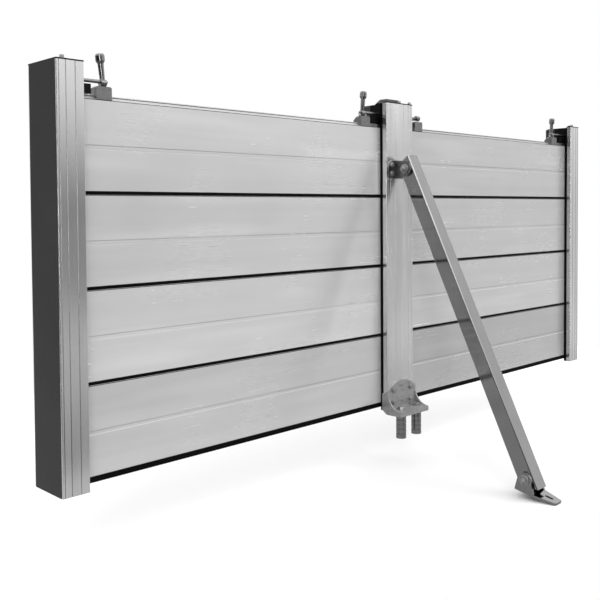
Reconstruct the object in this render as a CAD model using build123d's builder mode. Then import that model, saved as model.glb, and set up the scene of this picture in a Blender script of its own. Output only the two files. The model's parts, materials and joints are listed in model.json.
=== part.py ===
"""Demountable flood barrier: hollow planks stacked in slotted posts, propped by a pinned brace."""

import os
from math import hypot, sqrt

from build123d import *

# X runs along the barrier, +Y faces the water and +Z is up from the foot of the posts.
post_freeboard = 69.0
middle_width = 120.0
end_width = 62.0
bay_clear = 958.0
front_flange = 14.0
rear_flange = 24.0
front_gap = 10.0
rear_gap = 20.0
post_wall = 3.0
middle_web = 40.0
end_web = 18.0
rib_thick = 3.0
corner_round = 1.5
groove_width = 1.8
groove_depth = 0.9
groove_shares = (0.09, 0.34, 0.68)
middle_groove_shares = (-0.44, -0.34, -0.16, 0.16, 0.34, 0.44)

# Hollow planks with a tongue on top and a groove below.
plank_rows = 4
plank_pitch = 200.0
plank_thick = 50.0
plank_wall = 3.0
plank_end_gap = 6.0
joint_gap = 6.5
tongue_width = 24.0
tongue_height = 10.0
groove_room = 2.0
groove_rise = 14.0
plank_rib_shares = (0.36, 0.66)
die_line_shares = (0.46, 0.5)
die_line_width = 2.2
die_line_depth = 1.0
edge_chamfer = 1.2

# Rubber strips.
seal_lift = 9.0
bottom_seal_height = 12.5
seal_setback = 1.5
seal_clear = 0.3
strip_width = 14.0
strip_setback = 1.0
strip_freeboard = 66.0
key_width = 7.0
key_depth = 2.0
lip_width = 11.0
lip_gap_height = 5.0
gasket_recess = 3.0
gasket_proud = 1.0
gasket_margin = 5.0

# Post caps.
cap_thick = 3.0

# Hold-down clamps, placed by their distance into the bay from the flange edge.
lever_reach = 64.0
right_extra = 18.0
lever_forward = 14.0
lever_lean = 6.5
hub_rise = 38.5
hub_length = 14.0
hub_round = 1.2
cam_radius = 8.0
cam_offset = 2.2
cam_gap = 0.5
rod_radius = 4.0
running_gap = 0.05
rod_overrun = 5.0
rod_round = 3.0
plate_start = 26.0
plate_thick = 6.0
plate_clear = 1.0
plate_depth = 62.0
slope_setback = 14.0
slope_run = 20.0
spine_reach = 32.0
spine_thick = 14.0
spine_height = 20.0
spine_lift = 11.0
tab_height = 10.0
end_tab_height = 5.0
end_slope_setback = 45.0
end_slope_run = 8.0
middle_tab_reach = 48.0
end_tab_reach = 12.0
block_width = 37.0
block_shift = 3.0
block_depth = 30.0
block_flat = 18.0
block_slope_drop = 12.0
block_corner = 3.0
cheek_height = 9.0
cheek_reach = 26.0
cheek_inset = 1.0
stem_foot_radius = 5.3
stem_head_radius = 6.5
knob_radius = 10.0
knob_height = 38.0
knob_top = 59.0
knob_flare = 6.0
knob_bevel = 4.0

# Brace from the middle post to its own foot.
pin_reach = 41.5
pin_height = 695.0
foot_pin_reach = 423.5
foot_pin_height = -110.5
tube_size = 45.0
tube_wall = 3.0
tube_corner = 3.5
top_front = 33.0
top_rear = 20.0
mitre_front = 32.0
mitre_rear = 3.0
pin_radius = 6.0
pin_disc_radius = 13.5
pin_disc_thick = 3.5
pin_head_radius = 9.0
pin_head_thick = 6.0
pin_end = 5.0
pin_stub = 8.0
lug_thick = 6.0
lug_gap = 1.0
lug_radius = 21.0
far_lug_radius = 16.0
mount_width = 116.0
mount_height = 52.0
mount_thick = 5.0
mount_edge = 1.0

# Brace foot, hanging with its tip a little low.
foot_thick = 6.0
foot_drop = 26.5
foot_back = 22.0
foot_front = 31.0
foot_tip = 87.0
foot_tip_sag = 17.4
foot_tip_width = 32.0
foot_tip_round = 5.0
foot_lug_radius = 20.0
foot_slot_length = 23.0
foot_slot_width = 9.0
foot_slot_reach = 60.0

# Anchor bracket round the foot of the middle post.
bracket_width = 128.0
bracket_height = 84.0
bracket_shoulder = 57.0
bracket_plate = 7.0
bracket_flange = 9.0
bracket_reach = 54.0
bracket_fit = 0.3
flange_front_rise = 4.0
flange_rear_rise = 10.5
gusset_height = 54.0
gusset_dip = 9.0
cheek_depth = 15.0
cheek_foot = 3.0
cheek_top = 50.0
spot_radius = 13.0
spot_height = 5.0
anchor_radius = 14.5
anchor_core = 12.6
anchor_spread = 70.0
anchor_reach = 31.0
anchor_length = 66.0
anchor_groove_shares = (0.22, 0.42, 0.62, 0.82)
anchor_groove_height = 3.0

post_depth = front_flange + front_gap + plank_thick + rear_gap + rear_flange
front_face = -post_depth / 2
front_inner = front_face + front_flange
rear_face = post_depth / 2
rear_inner = rear_face - rear_flange
plank_front = front_inner + front_gap
plank_rear = plank_front + plank_thick
plank_mid = (plank_front + plank_rear) / 2
plank_tall = plank_pitch - joint_gap
plank_base = seal_lift + bottom_seal_height
plank_top = plank_base + plank_rows * plank_pitch - joint_gap
post_height = plank_top + post_freeboard
cap_top = post_height + cap_thick
middle_half = middle_width / 2
end_inner = middle_half + bay_clear
end_outer = end_inner + end_width
channel_mid = (front_inner + rear_inner) / 2
channel_depth = rear_inner - front_inner
web_face = end_outer - end_web
plank_start = middle_web / 2 + plank_end_gap
plank_stop = web_face - plank_end_gap
plank_length = plank_stop - plank_start
flange_mid = front_face + front_flange / 2
rear_mid = rear_face - rear_flange / 2
hollow_front = front_flange - 2 * post_wall
hollow_rear = rear_flange - 2 * post_wall

os.makedirs("parts", exist_ok=True)

# The middle post is one H extrusion with hollow flanges and a ribbed web; its rear wings end at plank top.
wing = middle_half - middle_web / 2
cell = middle_web / 2 - post_wall - rib_thick / 2
cell_mid = rib_thick / 2 + cell / 2
wing_hollow = wing - 2 * post_wall
wing_mid = middle_half - post_wall - wing_hollow / 2
strip_mid = middle_half - strip_setback - strip_width / 2
with BuildPart() as middle_post:
    with BuildSketch() as middle_section:
        with Locations((0, flange_mid)):
            Rectangle(middle_width, front_flange)
        with Locations((0, rear_mid)):
            Rectangle(middle_width, rear_flange)
        with Locations((0, channel_mid)):
            Rectangle(middle_web, channel_depth)
        corners = middle_section.vertices().filter_by(lambda v: abs(abs(v.X) - middle_half) < corner_round)
        fillet(corners, corner_round)
        with Locations((-wing_mid, flange_mid), (wing_mid, flange_mid)):
            Rectangle(wing_hollow, hollow_front, mode=Mode.SUBTRACT)
        with Locations((-wing_mid, rear_mid), (wing_mid, rear_mid)):
            Rectangle(wing_hollow, hollow_rear, mode=Mode.SUBTRACT)
        with Locations((-cell_mid, 0), (cell_mid, 0)):
            Rectangle(cell, post_depth - 2 * post_wall, mode=Mode.SUBTRACT)
        groove_y = front_face + groove_depth / 2
        with Locations(*[(share * middle_width, groove_y) for share in middle_groove_shares]):
            Rectangle(groove_width, groove_depth, mode=Mode.SUBTRACT)
        key_places = [(side * strip_mid, front_inner - key_depth / 2) for side in (-1, 1)]
        key_places += [(side * strip_mid, rear_inner + key_depth / 2) for side in (-1, 1)]
        with Locations(*key_places):
            Rectangle(key_width, key_depth, mode=Mode.SUBTRACT)
    extrude(amount=post_height)
    with Locations(*[(side * (middle_half - wing / 2), rear_mid, plank_top) for side in (-1, 1)]):
        Box(
            wing,
            rear_flange,
            post_freeboard,
            align=(Align.CENTER, Align.CENTER, Align.MIN),
            mode=Mode.SUBTRACT,
        )
middle_post.part.label = "middle_post"
export_step(middle_post.part, "parts/middle_post.step")

# The two end posts are mirrored channels with a recess for the wall gasket.
end_wing = end_width - end_web
end_wing_hollow = end_wing - 2 * post_wall
end_wing_mid = end_inner + post_wall + end_wing_hollow / 2
end_cell = end_web - 2 * post_wall - gasket_recess
end_cell_mid = web_face + post_wall + end_cell / 2
end_strip_mid = end_inner + strip_setback + strip_width / 2
gasket_width = post_depth - 2 * gasket_margin
for side, name in ((-1, "left_post"), (1, "right_post")):
    with BuildPart() as end_post:
        with BuildSketch() as end_section:
            end_mid = side * (end_inner + end_width / 2)
            with Locations((end_mid, flange_mid)):
                Rectangle(end_width, front_flange)
            with Locations((end_mid, rear_mid)):
                Rectangle(end_width, rear_flange)
            with Locations((side * (web_face + end_web / 2), channel_mid)):
                Rectangle(end_web, channel_depth)
            corners = end_section.vertices().filter_by(lambda v: abs(abs(v.X) - web_face) > corner_round)
            fillet(corners, corner_round)
            with Locations((side * end_wing_mid, flange_mid)):
                Rectangle(end_wing_hollow, hollow_front, mode=Mode.SUBTRACT)
            with Locations((side * end_wing_mid, rear_mid)):
                Rectangle(end_wing_hollow, hollow_rear, mode=Mode.SUBTRACT)
            with Locations((side * end_cell_mid, 0)):
                Rectangle(end_cell, post_depth - 2 * post_wall, mode=Mode.SUBTRACT)
            with Locations((side * (end_outer - gasket_recess / 2), 0)):
                Rectangle(gasket_recess, gasket_width, mode=Mode.SUBTRACT)
            groove_places = [side * (end_outer - share * end_width) for share in groove_shares]
            with Locations(*[(place, front_face + groove_depth / 2) for place in groove_places]):
                Rectangle(groove_width, groove_depth, mode=Mode.SUBTRACT)
            with Locations((side * end_strip_mid, front_inner - key_depth / 2)):
                Rectangle(key_width, key_depth, mode=Mode.SUBTRACT)
            with Locations((side * end_strip_mid, rear_inner + key_depth / 2)):
                Rectangle(key_width, key_depth, mode=Mode.SUBTRACT)
        extrude(amount=post_height)
        with Locations((side * (end_inner + end_wing / 2), rear_mid, plank_top)):
            Box(
                end_wing,
                rear_flange,
                post_freeboard,
                align=(Align.CENTER, Align.CENTER, Align.MIN),
                mode=Mode.SUBTRACT,
            )
    end_post.part.label = name
    export_step(end_post.part, f"parts/{name}.step")

# Foam gaskets fill the recess on the outer face of each end post.
gasket_thick = gasket_recess + gasket_proud
for side, name in ((-1, "left_wall_gasket"), (1, "right_wall_gasket")):
    with BuildPart() as gasket:
        with BuildSketch():
            with Locations((side * (end_outer - gasket_recess + gasket_thick / 2), 0)):
                Rectangle(gasket_thick, gasket_width)
        extrude(amount=post_height)
    gasket.part.label = name
    export_step(gasket.part, f"parts/{name}.step")

# Flat caps close the hollow posts.
with BuildPart() as middle_cap:
    with BuildSketch(Plane.XY.offset(post_height)):
        with Locations((0, flange_mid)):
            Rectangle(middle_width, front_flange)
        with Locations((0, rear_mid)):
            Rectangle(middle_web, rear_flange)
        with Locations((0, channel_mid)):
            Rectangle(middle_web, channel_depth)
    extrude(amount=cap_thick)
middle_cap.part.label = "middle_cap"
export_step(middle_cap.part, "parts/middle_cap.step")
for side, name in ((-1, "left_cap"), (1, "right_cap")):
    with BuildPart() as end_cap:
        with BuildSketch(Plane.XY.offset(post_height)):
            end_mid = side * (end_inner + end_width / 2)
            with Locations((end_mid, flange_mid)):
                Rectangle(end_width, front_flange)
            with Locations((side * (web_face + end_web / 2), rear_mid)):
                Rectangle(end_web, rear_flange)
            with Locations((side * (web_face + end_web / 2), channel_mid)):
                Rectangle(end_web, channel_depth)
        extrude(amount=cap_thick)
    end_cap.part.label = name
    export_step(end_cap.part, f"parts/{name}.step")

# Planks, numbered from the bottom of each bay.
groove_half = tongue_width / 2 + groove_room
rib_heights = [groove_rise + plank_wall + share * (plank_tall - groove_rise) for share in plank_rib_shares]
cell_floor = groove_rise + plank_wall
cell_edges = [cell_floor, *rib_heights, plank_tall - plank_wall]
for side, bay in ((-1, "left_bay"), (1, "right_bay")):
    start = plank_start if side > 0 else -plank_stop
    for row in range(plank_rows):
        base = plank_base + row * plank_pitch
        with BuildPart() as plank:
            with BuildSketch(Plane.YZ.offset(start)) as plank_section:
                with Locations((plank_mid, base + plank_tall / 2)):
                    Rectangle(plank_thick, plank_tall)
                chamfer(plank_section.vertices(), edge_chamfer)
                with Locations((plank_mid, base + plank_tall + tongue_height / 2)):
                    Rectangle(tongue_width, tongue_height)
                with Locations((plank_mid, base + groove_rise / 2)):
                    Rectangle(2 * groove_half, groove_rise, mode=Mode.SUBTRACT)
                foot_cell = plank_thick / 2 - groove_half - 2 * plank_wall
                for face in (-1, 1):
                    cell_y = plank_mid + face * (groove_half + plank_wall + foot_cell / 2)
                    with Locations((cell_y, base + groove_rise / 2)):
                        Rectangle(foot_cell, groove_rise - 2 * plank_wall, mode=Mode.SUBTRACT)
                for low, high in zip(cell_edges, cell_edges[1:]):
                    bottom = low + (plank_wall / 2 if low != cell_floor else 0)
                    top = high - (plank_wall / 2 if high != cell_edges[-1] else 0)
                    with Locations((plank_mid, base + (bottom + top) / 2)):
                        Rectangle(plank_thick - 2 * plank_wall, top - bottom, mode=Mode.SUBTRACT)
                with Locations((plank_mid, base + plank_tall + (tongue_height - plank_wall) / 2)):
                    Rectangle(tongue_width - 2 * plank_wall, tongue_height - plank_wall, mode=Mode.SUBTRACT)
                for share in die_line_shares:
                    with Locations((plank_front + die_line_depth / 2, base + share * plank_tall)):
                        Rectangle(die_line_depth, die_line_width, mode=Mode.SUBTRACT)
            extrude(amount=plank_length)
        plank.part.label = f"{bay}_plank_{row + 1}"
        export_step(plank.part, f"parts/{bay}_plank_{row + 1}.step")

    # Rubber strips between the shoulders of the planks, either side of the tongue.
    joint_strip = plank_thick / 2 - seal_setback - tongue_width / 2 - seal_clear
    joint_strip_mid = tongue_width / 2 + seal_clear + joint_strip / 2
    with BuildPart() as joint_seals:
        with BuildSketch(Plane.YZ.offset(start)):
            for row in range(plank_rows - 1):
                joint = plank_base + row * plank_pitch + plank_tall + joint_gap / 2
                with Locations((plank_mid - joint_strip_mid, joint), (plank_mid + joint_strip_mid, joint)):
                    Rectangle(joint_strip, joint_gap)
        extrude(amount=plank_length)
    joint_seals.part.label = f"{bay}_joint_seals"
    export_step(joint_seals.part, f"parts/{bay}_joint_seals.step")

    # The bottom seal stands on two lips and keys into the groove of the lowest plank.
    with BuildPart() as bottom_seal:
        with BuildSketch(Plane.YZ.offset(start)):
            with Locations((plank_mid, seal_lift + bottom_seal_height / 2)):
                Rectangle(plank_thick - 2 * seal_setback, bottom_seal_height)
            with Locations((plank_mid, seal_lift + lip_gap_height / 2)):
                Rectangle(plank_thick - 2 * seal_setback - 2 * lip_width, lip_gap_height, mode=Mode.SUBTRACT)
            with Locations((plank_mid, plank_base + tongue_height / 2)):
                Rectangle(2 * groove_half - 2 * seal_clear, tongue_height)
        extrude(amount=plank_length)
    bottom_seal.part.label = f"{bay}_bottom_seal"
    export_step(bottom_seal.part, f"parts/{bay}_bottom_seal.step")

# Upright rubber strips seal the planks against the flanges, one pair in each channel.
channels = (
    ("left_post_seals", -end_strip_mid),
    ("middle_post_left_seals", -strip_mid),
    ("middle_post_right_seals", strip_mid),
    ("right_post_seals", end_strip_mid),
)
for name, place in channels:
    with BuildPart() as post_seals:
        with BuildSketch():
            with Locations((place, front_inner + front_gap / 2)):
                Rectangle(strip_width, front_gap)
            with Locations((place, front_inner - key_depth / 2)):
                Rectangle(key_width, key_depth)
        extrude(amount=plank_top + strip_freeboard)
        with BuildSketch():
            with Locations((place, plank_rear + rear_gap / 2)):
                Rectangle(strip_width, rear_gap)
            with Locations((place, rear_inner + key_depth / 2)):
                Rectangle(key_width, key_depth)
        extrude(amount=plank_top)
    post_seals.part.label = name
    export_step(post_seals.part, f"parts/{name}.step")

# Hold-down clamps: flange edge, way into the bay, web face, name, reach of the lever and hook on the cap.
plate_front = front_inner + plate_clear
plate_rear = plate_front + plate_depth
middle_slope = (plank_rear - slope_setback, plank_rear - slope_setback - slope_run)
end_slope = (plank_rear - end_slope_setback, plank_rear - end_slope_setback - end_slope_run)
middle_hook = (middle_tab_reach, tab_height, *middle_slope)
end_hook = (end_tab_reach, end_tab_height, *end_slope)
long_reach = lever_reach + right_extra
clamps = (
    (-end_inner, 1, -web_face, "left_clamp_lever", lever_reach, None),
    (-middle_half, -1, -middle_web / 2, "middle_left_clamp_lever", lever_reach, middle_hook),
    (middle_half, 1, middle_web / 2, "middle_right_clamp_lever", lever_reach, None),
    (end_inner, -1, web_face, "right_clamp_lever", long_reach, end_hook),
)
swung_lever = "middle_right_clamp_lever"
hub_height = plank_top + hub_rise
lever_y = plank_mid - lever_forward
plate_low = plank_top + spine_lift
rod_over = hub_length / 2 + rod_overrun
with BuildPart() as clamp_brackets:
    for edge, way, web, _, reach, hook in clamps:
        outline = [(plate_front, plate_low), (plate_rear, plate_low), (plate_rear, post_height)]
        if hook:
            tab_reach, tab_rise, slope_low, slope_high = hook
            outline += [(slope_low, post_height), (slope_high, cap_top + tab_rise)]
            outline += [(plate_front, cap_top + tab_rise)]
        else:
            outline += [(plate_front, post_height)]
        inner = edge - way * plate_start
        with BuildSketch(Plane.YZ.offset(inner)):
            Polygon(*outline, align=None)
        extrude(amount=way * plate_thick)
        if hook:
            with Locations((inner - way * tab_reach / 2, (plate_front + slope_high) / 2, cap_top)):
                Box(
                    tab_reach,
                    slope_high - plate_front,
                    tab_rise,
                    align=(Align.CENTER, Align.CENTER, Align.MIN),
                )
        nose = edge + way * spine_reach
        with Locations(((web + nose) / 2, lever_y, plate_low)):
            Box(abs(nose - web), spine_thick, spine_height, align=(Align.CENTER, Align.CENTER, Align.MIN))
        tip = edge + way * (reach + rod_over)
        with Locations(Location(((inner + tip) / 2, lever_y, hub_height), (0, 90, 0))):
            Cylinder(rod_radius, abs(tip - inner))
    ends = clamp_brackets.edges().filter_by(GeomType.CIRCLE)
    tips = [edge + way * (reach + rod_over) for edge, way, _, _, reach, _ in clamps]
    ends = ends.filter_by(lambda e: min(abs(e.center().X - tip) for tip in tips) < running_gap)
    fillet(ends, rod_round)
clamp_brackets.part.label = "clamp_brackets"
export_step(clamp_brackets.part, "parts/clamp_brackets.step")

# Pressing blocks hook over the tongue of the top planks, below the cams.
block_top = hub_height - cam_offset - cam_radius - cam_gap
tongue_front = plank_mid - tongue_width / 2 - seal_clear
tongue_over = plank_top + tongue_height + seal_clear
cheek = tongue_front - plank_front - cheek_inset
with BuildPart() as clamp_blocks:
    for edge, way, _, _, reach, _ in clamps:
        with BuildSketch(Plane.YZ.offset(edge + way * (reach - block_shift) - block_width / 2)):
            Polygon(
                (plank_front, plank_top),
                (tongue_front, plank_top),
                (tongue_front, tongue_over),
                (plank_front + block_depth, tongue_over),
                (plank_front + block_depth, block_top - block_slope_drop),
                (plank_front + block_flat, block_top),
                (plank_front, block_top),
                align=None,
            )
        extrude(amount=block_width)
    chamfer(clamp_blocks.edges().filter_by(Axis.Y).group_by(Axis.Z)[-1], block_corner)
    for edge, way, _, _, reach, hook in clamps:
        if hook:
            block_side = reach - block_shift - block_width / 2
            cheek_place = edge + way * (block_side - cheek_reach) / 2
            with Locations((cheek_place, plank_front + cheek_inset + cheek / 2, plank_top)):
                Box(
                    block_side + cheek_reach,
                    cheek,
                    cheek_height,
                    align=(Align.CENTER, Align.CENTER, Align.MIN),
                )
clamp_blocks.part.label = "clamp_blocks"
export_step(clamp_blocks.part, "parts/clamp_blocks.step")

# Cam levers turn on the rods and lean towards their posts, one of them swung open to the rear.
for edge, way, _, name, reach, _ in clamps:
    centre = (edge + way * reach, lever_y, hub_height)
    if name == swung_lever:
        cam_place = (-cam_offset, 0)
        grip_plane = Plane(centre, x_dir=(knob_top, way * lever_lean, 0), z_dir=(0, 0, 1))
        grip_way = (-way * lever_lean, knob_top, 0)
    else:
        cam_place = (0, -cam_offset)
        grip_plane = Plane(centre, x_dir=(knob_top, 0, way * lever_lean), z_dir=(0, -1, 0))
        grip_way = (-way * lever_lean, 0, knob_top)
    with BuildPart() as lever:
        with BuildSketch(Plane(centre, x_dir=(0, 1, 0), z_dir=(1, 0, 0))):
            with Locations(cam_place):
                Circle(cam_radius)
        extrude(amount=hub_length / 2, both=True)
        fillet(lever.edges().filter_by(GeomType.CIRCLE), hub_round)
        with BuildSketch(grip_plane):
            Polygon(
                (0, 0),
                (stem_foot_radius, 0),
                (stem_head_radius, knob_height),
                (knob_radius, knob_height + knob_flare),
                (knob_radius, knob_top - knob_bevel),
                (knob_radius - knob_bevel / 2, knob_top),
                (0, knob_top),
                align=None,
            )
        revolve(axis=Axis(centre, grip_way))
        with Locations(Location(centre, (0, 90, 0))):
            Cylinder(rod_radius + running_gap, 2 * hub_length, mode=Mode.SUBTRACT)
    lever.part.label = name
    export_step(lever.part, f"parts/{name}.step")

# The brace mount is an obround plate with two lugs on the face of the middle post.
pin_y = front_face - pin_reach
lug_inner = tube_size / 2 + lug_gap
lug_outer = lug_inner + lug_thick
with BuildPart() as brace_mount:
    with BuildSketch(Plane((0, front_face, pin_height), x_dir=(1, 0, 0), z_dir=(0, -1, 0))):
        SlotOverall(mount_width, mount_height)
    extrude(amount=mount_thick)
    chamfer(brace_mount.faces().sort_by(Axis.Y)[0].edges(), mount_edge)
    for place, radius in ((-lug_outer, lug_radius), (lug_inner, far_lug_radius)):
        with BuildSketch(Plane.YZ.offset(place)):
            with Locations((pin_y, pin_height)):
                Circle(radius)
            with Locations((pin_y, pin_height)):
                Rectangle(pin_reach - mount_thick, 2 * radius, align=(Align.MIN, Align.CENTER))
        extrude(amount=lug_thick)
    with Locations(Location((0, pin_y, pin_height), (0, 90, 0))):
        Cylinder(pin_radius, mount_width, mode=Mode.SUBTRACT)
brace_mount.part.label = "brace_mount"
export_step(brace_mount.part, "parts/brace_mount.step")

# Both brace pins are bolts with a broad washer and a hexagon at the left end and a plain right end.
foot_pin_y = front_face - foot_pin_reach
pin_left = lug_outer + pin_disc_thick + pin_head_thick + pin_end
for name, y, z in (("brace_top_pin", pin_y, pin_height), ("brace_foot_pin", foot_pin_y, foot_pin_height)):
    with BuildPart() as pin:
        with BuildSketch(Plane.YZ.offset(-pin_left)):
            with Locations((y, z)):
                Circle(pin_radius)
        extrude(amount=pin_left + lug_outer + pin_stub)
        with BuildSketch(Plane.YZ.offset(-lug_outer)):
            with Locations((y, z)):
                Circle(pin_disc_radius)
        extrude(amount=-pin_disc_thick)
        with BuildSketch(Plane.YZ.offset(-lug_outer - pin_disc_thick)):
            with Locations((y, z)):
                RegularPolygon(pin_head_radius, 6)
        extrude(amount=-pin_head_thick)
    pin.part.label = name
    export_step(pin.part, f"parts/{name}.step")

# The brace tube is a hollow square bored across for both pins, mitred to clear the mount and the foot.
run = (foot_pin_y - pin_y, foot_pin_height - pin_height)
tube_length = hypot(*run)
lean = (0, run[0] / tube_length, run[1] / tube_length)
tube_start = (0, pin_y - lean[1] * top_front, pin_height - lean[2] * top_front)
mitres = []
for front, rear, way, y, z in (
    (top_front, top_rear, -1, pin_y, pin_height),
    (mitre_front, mitre_rear, 1, foot_pin_y, foot_pin_height),
):
    middle = (front + rear) / 2
    slant = front - rear
    beyond = middle + slant + tube_size
    near, far, last = way * (middle + slant), way * (middle - slant), way * beyond
    corners = ((tube_size, near), (-tube_size, far), (-tube_size, last), (tube_size, last))
    mitres.append(
        [
            (y + lean[1] * along + lean[2] * across, z + lean[2] * along - lean[1] * across)
            for across, along in corners
        ]
    )
with BuildPart() as brace_tube:
    with BuildSketch(Plane(tube_start, x_dir=(1, 0, 0), z_dir=lean)):
        RectangleRounded(tube_size, tube_size, tube_corner)
        Rectangle(tube_size - 2 * tube_wall, tube_size - 2 * tube_wall, mode=Mode.SUBTRACT)
    extrude(amount=tube_length + top_front + mitre_front)
    with BuildSketch(Plane.YZ):
        for outline in mitres:
            Polygon(*outline, align=None)
    extrude(amount=tube_size, both=True, mode=Mode.SUBTRACT)
    with Locations(
        Location((0, pin_y, pin_height), (0, 90, 0)),
        Location((0, foot_pin_y, foot_pin_height), (0, 90, 0)),
    ):
        Cylinder(pin_radius + running_gap, 2 * tube_size, mode=Mode.SUBTRACT)
brace_tube.part.label = "brace_tube"
export_step(brace_tube.part, "parts/brace_tube.step")

# The foot is a tapering slotted plate with two rounded lugs.
dip = foot_tip_sag / foot_tip
level = sqrt(1 - dip * dip)
foot_width = 2 * lug_outer
foot_base = foot_drop + foot_thick
base_point = (0, foot_pin_y + dip * foot_base, foot_pin_height - level * foot_base)
with BuildPart() as brace_foot:
    with BuildSketch(Plane(base_point, x_dir=(1, 0, 0), z_dir=(0, -dip, level))) as foot_plate:
        Polygon(
            (-foot_width / 2, foot_back),
            (-foot_width / 2, -foot_front),
            (-foot_tip_width / 2, -foot_tip),
            (foot_tip_width / 2, -foot_tip),
            (foot_width / 2, -foot_front),
            (foot_width / 2, foot_back),
            align=None,
        )
        fillet(foot_plate.vertices().group_by(Axis.Y)[0], foot_tip_round)
        with Locations((0, -foot_slot_reach)):
            SlotOverall(foot_slot_length, foot_slot_width, rotation=90, mode=Mode.SUBTRACT)
    extrude(amount=foot_thick)
    for place, radius in ((-lug_outer, foot_lug_radius), (lug_inner, far_lug_radius)):
        lug_plane = Plane((place, foot_pin_y, foot_pin_height), x_dir=(0, level, dip), z_dir=(1, 0, 0))
        with BuildSketch(lug_plane):
            Circle(radius)
            Polygon(
                (foot_back, -foot_drop),
                (radius, 0),
                (-radius, 0),
                (-foot_front, -foot_drop),
                align=None,
            )
        extrude(amount=lug_thick)
    with Locations(Location((0, foot_pin_y, foot_pin_height), (0, 90, 0))):
        Cylinder(pin_radius, 2 * foot_width, mode=Mode.SUBTRACT)
brace_foot.part.label = "brace_foot"
export_step(brace_foot.part, "parts/brace_foot.step")

# The anchor bracket is a casting with an arched plate, a sloping flange and side walls that clasp the post.
half_bracket = bracket_width / 2
clasp = middle_half + bracket_fit
anchor_y = front_face - anchor_reach
flange_edge = front_face - bracket_reach
plate_face = front_face - bracket_plate
gusset_mid = (plate_face + flange_edge) / 2
with BuildPart() as anchor_bracket:
    with BuildSketch(Plane((0, front_face, 0), x_dir=(1, 0, 0), z_dir=(0, -1, 0))):
        with BuildLine():
            ThreePointArc(
                (-half_bracket, bracket_shoulder),
                (0, bracket_height),
                (half_bracket, bracket_shoulder),
            )
            Polyline(
                (half_bracket, bracket_shoulder),
                (half_bracket, -bracket_flange),
                (-half_bracket, -bracket_flange),
                (-half_bracket, bracket_shoulder),
            )
        make_face()
    extrude(amount=bracket_plate)
    with BuildSketch(Plane.YZ.offset(-half_bracket)):
        Polygon(
            (front_face, -bracket_flange),
            (flange_edge, -bracket_flange),
            (flange_edge, flange_front_rise),
            (plate_face, flange_rear_rise),
            (front_face, flange_rear_rise),
            align=None,
        )
    extrude(amount=bracket_width)
    for place in (-half_bracket, clasp):
        with BuildSketch(Plane.YZ.offset(place)):
            with BuildLine():
                ThreePointArc(
                    (plate_face, gusset_height),
                    (gusset_mid + gusset_dip, gusset_height / 2 - gusset_dip),
                    (flange_edge, flange_front_rise),
                )
                Polyline(
                    (flange_edge, flange_front_rise),
                    (flange_edge, -bracket_flange),
                    (front_face, -bracket_flange),
                    (front_face + cheek_depth, cheek_foot),
                    (front_face + cheek_depth, cheek_top),
                    (plate_face, gusset_height),
                )
            make_face()
        extrude(amount=half_bracket - clasp)
    with Locations(*[(side * anchor_spread / 2, anchor_y, spot_height) for side in (-1, 1)]):
        Cylinder(
            spot_radius,
            flange_rear_rise,
            align=(Align.CENTER, Align.CENTER, Align.MIN),
            mode=Mode.SUBTRACT,
        )
anchor_bracket.part.label = "anchor_bracket"
export_step(anchor_bracket.part, "parts/anchor_bracket.step")

# Ribbed ground anchors hang below the flange.
anchor_bottom = -bracket_flange - anchor_length
with BuildPart() as ground_anchors:
    for side in (-1, 1):
        with Locations((side * anchor_spread / 2, anchor_y, anchor_bottom)):
            Cylinder(anchor_radius, anchor_length, align=(Align.CENTER, Align.CENTER, Align.MIN))
        for share in anchor_groove_shares:
            ring_base = anchor_bottom + share * anchor_length - anchor_groove_height / 2
            with BuildSketch(Plane.XY.offset(ring_base)):
                with Locations((side * anchor_spread / 2, anchor_y)):
                    Circle(2 * anchor_radius)
                    Circle(anchor_core, mode=Mode.SUBTRACT)
            extrude(amount=anchor_groove_height, mode=Mode.SUBTRACT)
ground_anchors.part.label = "ground_anchors"
export_step(ground_anchors.part, "parts/ground_anchors.step")
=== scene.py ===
"""Flood barrier: finishes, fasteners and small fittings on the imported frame, with its stage."""

import json
import math
from collections import namedtuple

import bmesh
import bpy
from mathutils import Matrix, Vector


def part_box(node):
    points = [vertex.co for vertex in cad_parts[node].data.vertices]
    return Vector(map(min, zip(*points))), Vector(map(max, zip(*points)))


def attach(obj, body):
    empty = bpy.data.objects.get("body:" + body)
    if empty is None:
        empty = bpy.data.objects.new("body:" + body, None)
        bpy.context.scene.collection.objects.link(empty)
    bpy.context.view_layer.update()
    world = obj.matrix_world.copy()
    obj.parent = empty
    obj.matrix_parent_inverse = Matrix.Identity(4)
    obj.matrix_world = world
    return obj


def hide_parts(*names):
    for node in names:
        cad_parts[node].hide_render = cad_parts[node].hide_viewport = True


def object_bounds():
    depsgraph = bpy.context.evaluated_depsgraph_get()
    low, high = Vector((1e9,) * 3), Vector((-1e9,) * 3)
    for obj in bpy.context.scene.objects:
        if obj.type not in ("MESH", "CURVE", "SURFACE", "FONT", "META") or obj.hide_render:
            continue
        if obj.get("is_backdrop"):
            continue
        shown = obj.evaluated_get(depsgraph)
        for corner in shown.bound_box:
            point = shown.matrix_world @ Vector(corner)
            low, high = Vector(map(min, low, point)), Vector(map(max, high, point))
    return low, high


bl_info = {
    "name": "Flood barrier dressing",
    "version": (1, 0, 0),
    "blender": (4, 5, 0),
    "location": "View3D > Sidebar > Barrier",
    "description": "Finishes and fittings of a demountable flood barrier",
    "category": "Object",
}

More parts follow.
